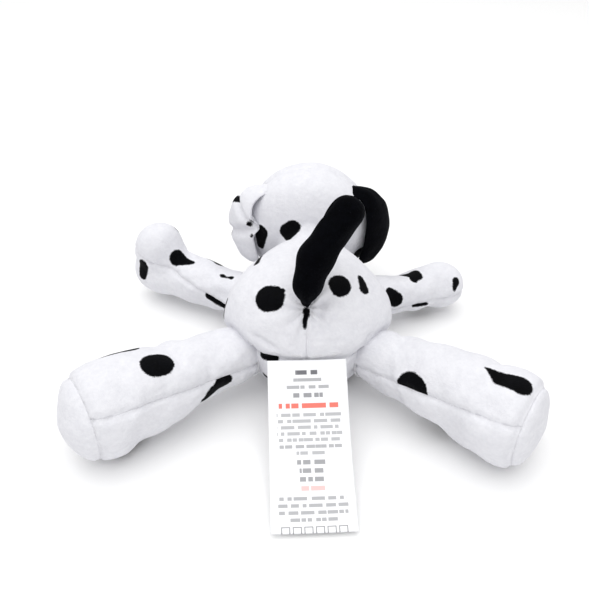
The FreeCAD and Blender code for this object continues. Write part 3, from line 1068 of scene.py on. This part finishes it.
# ---------- legs ----------
def make_hind_leg(side, mirror, length, bulge, top_spots, under_spots, seed):
    corners = [HIP - hind_axis() * 1.0, HIP + hind_axis() * (length - 17)]
    normal = hind_seam_normal()
    seam_point = HIP - UP * HIND_SEAM_DROP

    def held(p):
        along = (p - HIP) @ hind_axis()
        seams = np.minimum(np.abs((p - seam_point) @ normal), np.abs(along - length + 1))
        return np.maximum(groove(seams, 2.2), ramp(-along, -6, 2))

    surface = stuffed(side + "_hind", limb_rays(corners, 16, 28, 5),
                      lambda p: hind_form(p, length, bulge), held, 2.0, 0.07)
    points, faces = wrap(limb_rays(corners, 58, 112, 26), surface)
    whole = new_object(side + "_hind_whole", points * mirror, faces)
    p = read_points(whole) * mirror
    along = (p - HIP) @ hind_axis()
    away = p - HIP - np.outer(along, hind_axis())
    angle = np.arctan2(away[:, 2], away @ np.cross(hind_axis(), UP))
    level = (p - seam_point) @ normal
    on_tube = ramp(-along, -length - 1, 2 - length)
    pucker = waves(np.c_[along, angle * 0, level] + seed, 2.6, seed)
    amount = -1.3 * groove(level, 1.3) * on_tube
    amount += 0.55 * groove(np.abs(level) - 3.0, 2.4) * pucker * on_tube
    rim = along - length + 1
    rim_pucker = waves(np.c_[np.cos(angle), np.sin(angle), along * 0] * 9 + seed, 1.3, seed + 1)
    outer = ramp(lengths(away), 12, 16)
    amount += (-1.2 * groove(rim, 1.3) + 0.45 * groove(np.abs(rim) - 2.4, 2.0) * rim_pucker) * outer
    scallop = 0.9 * waves(np.c_[along, angle * 4, along * 0] + seed, 7, seed + 2)
    amount += scallop * ramp(-level, 4, 15) * on_tube
    amount += 0.5 * waves(p, 17, seed + 3) + 0.12 * waves(p, 5, seed + 4)
    push(whole, amount)
    place = limb_place(HIP * mirror, (HIP + hind_axis() * HIND_LENGTH) * mirror, mirror[0])
    axis = hind_axis() * mirror
    sole_point = (HIP + hind_axis() * (length - 1)) * mirror
    body = side + "_hind_leg"
    for name, up, spots in (("top", 1, top_spots), ("under", -1, under_spots)):
        panel = side + "_hind_" + name
        cuts = [(sole_point, -axis), (seam_point * mirror, normal * mirror * up)]
        make_panel(whole, panel, cuts, body, [panel + "_panel"], place, spots)
    make_panel(whole, side + "_hind_sole", [(sole_point, axis)], body, [side + "_hind_sole"])
    make_fill(side + "_hind_fill", whole, body, side + "_hind_stuffing")


def make_front_leg(side, form, corners, seam_normal, top_spots, under_spots, seed):
    corners = np.array(corners, float)
    normal = unit(seam_normal)
    root = corners[0] - normal * 3.0

    def held(p):
        near_root = lengths(p - corners[0])
        return np.maximum(groove((p - root) @ normal, 2.0), ramp(-near_root, -14, -8))

    surface = stuffed(side + "_front", limb_rays(corners, 12, 24, 5), form, held, 1.5, 0.07)
    whole = wrapped(side + "_front", limb_rays(corners, 50, 88, 20), surface)
    p = read_points(whole)
    level = (p - root) @ normal
    ripple = waves(p, 2.6, seed)
    amount = -1.1 * groove(level, 1.2)
    amount += 0.4 * groove(np.abs(level) - 2.8, 2.2) * ripple
    amount += 0.45 * waves(p, 14, seed + 1) + 0.1 * waves(p, 5, seed + 2)
    push(whole, amount)
    place = limb_place(corners[0], corners[1], 1 if side == "right" else -1)
    for name, up, spots in (("top", 1, top_spots), ("under", -1, under_spots)):
        panel = side + "_front_" + name
        make_panel(whole, panel, [(root, normal * up)], side + "_front_leg", [panel + "_panel"], place, spots)
    make_fill(side + "_front_fill", whole, side + "_front_leg", side + "_front_stuffing")


def make_tail():
    corners = [TAIL_ROOT, TAIL_ROOT + (3.5, 5.0, 18.0), TAIL_TIP]
    side = unit(np.cross(np.cross(TAIL_TIP - TAIL_ROOT, (0, 1, 0)), TAIL_TIP - TAIL_ROOT))

    def held(p):
        return np.maximum(groove((p - TAIL_ROOT) @ side, 1.5), ramp(-p[:, 2], -64, -58))

    surface = stuffed("tail", limb_rays(corners, 12, 20, 5), tail_form, held, 1.0)
    whole = wrapped("tail", limb_rays(corners, 44, 64, 14), surface)
    p = read_points(whole)
    level = (p - TAIL_ROOT) @ side
    low = ramp(-p[:, 2], -76, -60)
    amount = -0.7 * groove(level, 1.0) + 0.3 * waves(p, 9, 51)
    amount += 0.5 * low * waves(p * (1, 1, 0.25), 2.4, 52)
    push(whole, amount)
    for name, up in (("front", 1), ("rear", -1)):
        panel = copied(whole, "tail_" + name + "_pile")
        cut_away(panel, TAIL_ROOT, side * up)
        finish_cover(panel, "tail", ["tail_" + name + "_cover"], DARK)
    make_fill("tail_fill", whole, "tail", "tail_stuffing")
    axis = unit(TAIL_TIP - TAIL_ROOT)
    side = unit(np.cross(axis, (0, 1, 0)))
    over = np.cross(axis, side)
    ring = [TAIL_ROOT + (-0.5, 2.4, 2.4) + 2.6 * (math.cos(a) * side + math.sin(a) * over)
            for a in np.linspace(0, 2 * math.pi, 17)]
    make_thread("tail_gathering_thread", [ring], GATHERING_RADIUS, "torso", "tail_seam_thread")


# ---------- ears ----------
# The line down the middle of an ear from the head: x, y, z, half the ear's width
# there, and how far its front edge turns outwards, in degrees.
EAR_LINE = [
    (21.5, 66.0, 70.6, 4.5, 4),
    (27.5, 65.5, 69.4, 6.5, 10),
    (32.8, 64.5, 66.0, 9.0, 18),
    (36.2, 63.5, 60.0, 11.5, 26),
    (37.8, 63.0, 51.5, 12.8, 32),
    (37.6, 62.5, 43.0, 13.0, 35),
    (35.6, 62.0, 35.0, 13.0, 36),
    (32.0, 62.5, 27.5, 0.0, 36),
]
EAR_SPOT_REACH = 1.4       # how far the cloth lies off the ear's middle, so that a spot reaches it
EAR_TIP_CURVE = 12.0       # how far from its end the ear starts to round off
EAR_CREASES = [(19, 2.4, 2.2, 5), (33, 3.0, 2.6, -6)]   # distance down, depth, width, slope


def smooth_rows(rows, count):
    """Rows of numbers evenly spaced along a smooth line through a few rows."""
    rows = np.array(rows, float)
    rows = np.vstack([2 * rows[0] - rows[1], rows, 2 * rows[-1] - rows[-2]])
    place = np.linspace(0, len(rows) - 3, count)
    first = np.minimum(place.astype(int), len(rows) - 4)
    f = (place - first)[:, None]
    a, b, c, d = (rows[first + k] for k in range(4))
    return b + 0.5 * f * (c - a + f * (2 * a - 5 * b + 4 * c - d + f * (3 * (b - c) + d - a)))


def ear_frame(count):
    """The ear's middle line, its directions down, across and outwards, and its widths."""
    rows = smooth_rows(EAR_LINE, count)
    line = rows[:, :3]
    down = np.gradient(line, axis=0)
    length = np.concatenate([[0], np.cumsum(lengths(np.diff(line, axis=0)))])
    down /= lengths(down)[:, None]
    turn = np.radians(rows[:, 4])
    across = np.stack([np.sin(turn), np.cos(turn), 0 * turn], axis=1)
    out = np.cross(across, down) * -1
    out /= lengths(out)[:, None]
    left = length[-1] - length
    tip = np.sqrt(np.clip(1 - ((EAR_TIP_CURVE - left) / EAR_TIP_CURVE).clip(0, 1) ** 2, 0, 1))
    widths = np.interp(length, length[::max(1, count // 7)], rows[::max(1, count // 7), 3])
    widths = np.where(left < EAR_TIP_CURVE, 12.8, widths) * tip
    return line, down, across, out, widths, length


def make_ear(side, mirror, creases, material, spots, seed):
    """A padded ear of two layers. Its root is sewn to the head and the rest hangs clear."""
    line, _, across, out, widths, length = ear_frame(64)
    steps = np.sin(np.linspace(-0.5, 0.5, 41) * math.pi)
    for layer, sign in (("inner", -1), ("outer", 1)):
        points = []
        for i in range(len(line)):
            tip = min(1.0, (length[-1] - length[i]) / 5.0)
            root = 0.35 + 0.65 * min(1.0, length[i] / 12.0)
            for u in steps:
                crease = sum(depth * math.exp(-((length[i] + slope * u - at) / width) ** 2)
                             for at, depth, width, slope in creases)
                loft = 2.2 * math.sqrt(max(0.0, 1 - u * u)) * math.sqrt(max(0.0, tip)) * root
                lift = sign * (0.1 + loft) - crease * (1 - 0.3 * u) - 1.6 * u * u * root
                lift += 0.5 * noise.noise(Vector((u * 1.5, length[i] * 0.12, seed)))
                points.append(line[i] + across[i] * widths[i] * u + out[i] * lift)
        ear = new_object(side + "_ear_" + layer + "_cover", np.array(points) * mirror,
                         grid_faces(len(line), len(steps)))
        outwards = read_normals(ear) @ (np.array([1, 0, 0]) * mirror)
        if (outwards.mean() > 0) != (sign > 0):
            ear.data.flip_normals()
        push(ear, 0.12 * waves(read_points(ear), 4, seed))
        paint_ear_spots(ear, mirror, spots)
        thicken(ear, CLOTH)
        dress(ear, material)
        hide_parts(side + "_ear_" + layer)
        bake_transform(ear)


def paint_ear_spots(obj, mirror, spots):
    """Spots on an ear: distance down from the head, part of its half width across, and radii."""
    line, _, across, _, widths, length = ear_frame(64)
    points = read_points(obj) * mirror
    nearest = np.full(len(points), NO_SPOT)
    for start, start_radius, end, end_radius in spots:
        ends = []
        for far, part in (start, end):
            i = int(np.argmin(np.abs(length - far)))
            ends.append(line[i] + across[i] * widths[i] * part)
        reach_out = capsule(points, ends[0], ends[1] + (0.01, 0, 0), start_radius + EAR_SPOT_REACH,
                            end_radius + EAR_SPOT_REACH)
        nearest = np.minimum(nearest, reach_out)
    store_spots(obj, nearest)


# ---------- care label and stitches ----------
def label_arc():
    """Centre, radius and end angles of the arc that the label hangs along, in the y-z plane."""
    (ay, az), (by, bz), (cy, cz) = LABEL_TOP, LABEL_MIDDLE, LABEL_END
    d = 2 * (ay * (bz - cz) + by * (cz - az) + cy * (az - bz))
    a, b, c = ay * ay + az * az, by * by + bz * bz, cy * cy + cz * cz
    y = (a * (bz - cz) + b * (cz - az) + c * (az - bz)) / d
    z = (a * (cy - by) + b * (ay - cy) + c * (by - ay)) / d
    return y, z, math.hypot(ay - y, az - z), math.atan2(az - z, ay - y), math.atan2(cz - z, cy - y)


def make_label():
    y0, z0, radius, start, end = label_arc()
    length = abs(end - start) * radius
    rows, columns = 110, 49
    points = []
    places = []
    for i in range(rows):
        t = i / (rows - 1)
        for j in range(columns):
            u = (j / (columns - 1) - 0.5) * LABEL_WIDTH
            edge = (2 * u / LABEL_WIDTH) ** 2
            angle = start + (end - start) * t
            lift = 0.3 - 1.0 * edge * (1 - ramp(t, 0.0, 0.5)) - 0.5 * edge * ramp(t, 0.5, 1.0)
            lift += 0.35 * noise.noise(Vector((u * 0.05, t * 3.0, 61.0)))
            y = y0 + (radius + lift) * math.cos(angle)
            z = z0 + (radius + lift) * math.sin(angle)
            points.append((u, y, max(z, 0.6)))
            places.append((u, t * length, 0.0))
    c, s = math.cos(LABEL_TURN), math.sin(LABEL_TURN)
    points = np.array(points) - (0, LABEL_TOP[0], 0)
    points = points @ np.array([[c, -s, 0], [s, c, 0], [0, 0, 1]]).T + (0, LABEL_TOP[0], 0)
    label = new_object("care_label_ribbon", points, grid_faces(rows, columns))
    if read_normals(label)[:, 2].mean() < 0:
        label.data.flip_normals()
    layer = label.data.attributes.new("label_at", "FLOAT_VECTOR", "POINT")
    layer.data.foreach_set("vector", np.array(places).ravel())
    thicken(label, LABEL_THICKNESS)
    dress(label, satin_label())
    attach(label, "label")
    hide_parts("care_label")


def make_stitches(torso):
    """Small hand stitches that close the left flank, and the bars that hold the label."""
    tree = tree_of(torso)
    lines = []
    for y in (10, 13, 16, 19):
        height = BELLY_SEAM_Z + BELLY_SEAM_SLOPE * y
        lines.append([on_surface(tree, (-40, y + 0.3 * step, height + step), (1, 0, 0), 0.3)
                      for step in (-1.3, -0.5, 0.5, 1.3)])
    make_thread("closing_thread", lines, STITCH_RADIUS, "torso", "closing_stitches")
    lines = []
    for x in (-13.5, -4.5, 4.5, 13.5):
        lines.append([on_surface(tree, (x + d, -30, LABEL_TOP[1] + 1.2), (0, 1, 0), 0.05)
                      for d in (-2, -0.7, 0.7, 2)])
    make_thread("label_thread", lines, STITCH_RADIUS, "torso", "label_stitches")


def dress_cad_nodes():
    """Finishes for the CAD pieces that stay: eyes, washers and gathered threads."""
    eye = gloss_plastic()
    nylon = washer_plastic()
    for name, obj in frame["nodes"].items():
        if name.endswith("_eye"):
            material = eye
        elif name == "eye_washers":
            material = nylon
        elif name.endswith("_seam_thread"):
            material = WHITE_THREAD
        else:
            continue
        obj.data.materials.clear()
        obj.data.materials.append(material)
        obj.data.shade_smooth()


# ---------- studio ----------
# Places here are in metres. A light is its name, place, size and power.
LIGHTS = [
    ("key", (-0.10, 0.02, 1.10), 1.5, 10.5),
    ("fill", (0.10, -0.90, 0.60), 1.2, 1.0),
]
LIGHT_TARGET = Vector((0, 0.02, 0.03))
ROOM_LIGHT = 0.70
CAMERA_PLACE = (0.00042, -0.24897, 0.2379)
CAMERA_TILT = math.radians(53.1)
CAMERA_TURN = math.radians(1.5)
CAMERA_LENS = 41.38


def make_studio():
    scene = bpy.context.scene
    scene.view_settings.view_transform = "Standard"
    world = bpy.data.worlds.new("soft_room")
    scene.world = world
    world.use_nodes = True
    background = world.node_tree.nodes["Background"]
    background.inputs["Color"].default_value = (1.0, 1.0, 1.0, 1)
    background.inputs["Strength"].default_value = ROOM_LIGHT
    floor = new_object("floor", [(-900, -900, 0), (900, -900, 0), (900, 1500, 0), (-900, 1500, 0)],
                       [(0, 1, 2, 3)])
    floor.data.materials.append(paper_floor())
    for name, place, size, power in LIGHTS:
        data = bpy.data.lights.new(name, "AREA")
        data.size = size
        data.energy = power
        light = bpy.data.objects.new(name, data)
        light.location = place
        light.rotation_euler = (LIGHT_TARGET - Vector(place)).to_track_quat("-Z", "Y").to_euler()
        link(light)
    data = bpy.data.cameras.new("camera")
    data.lens = CAMERA_LENS
    data.sensor_width = 36
    data.clip_start = 0.01
    camera = bpy.data.objects.new("camera", data)
    camera.location = CAMERA_PLACE
    camera.rotation_euler = (CAMERA_TILT, 0, CAMERA_TURN)
    link(camera)
    scene.camera = camera


make_studio()
torso = make_torso()
make_head()
muzzle = make_muzzle()
make_face(muzzle)
make_stitches(torso)
make_hind_leg("right", np.ones(3), *RIGHT_HIND, RIGHT_HIND_TOP_SPOTS, RIGHT_HIND_UNDER_SPOTS, 60)
make_hind_leg("left", MIRROR, *LEFT_HIND, LEFT_HIND_TOP_SPOTS, LEFT_HIND_UNDER_SPOTS, 70)
make_front_leg("right", right_front_form, [SHOULDER, RIGHT_PAW], (0, 0, 1),
               RIGHT_FRONT_TOP_SPOTS, RIGHT_FRONT_UNDER_SPOTS, 80)
make_front_leg("left", left_front_form, [SHOULDER * MIRROR, LEFT_PAW_HEART],
               (0.25, -0.15, 1), LEFT_FRONT_TOP_SPOTS, LEFT_FRONT_UNDER_SPOTS, 90)
make_tail()
make_ear("right", np.ones(3), [], DARK, [], 101)
make_ear("left", MIRROR, EAR_CREASES, SPOTTED, LEFT_EAR_SPOTS, 103)
make_label()
dress_cad_nodes()
for leftover in [o for o in bpy.data.objects if o.name.endswith("_whole")]:
    bpy.data.objects.remove(leftover)
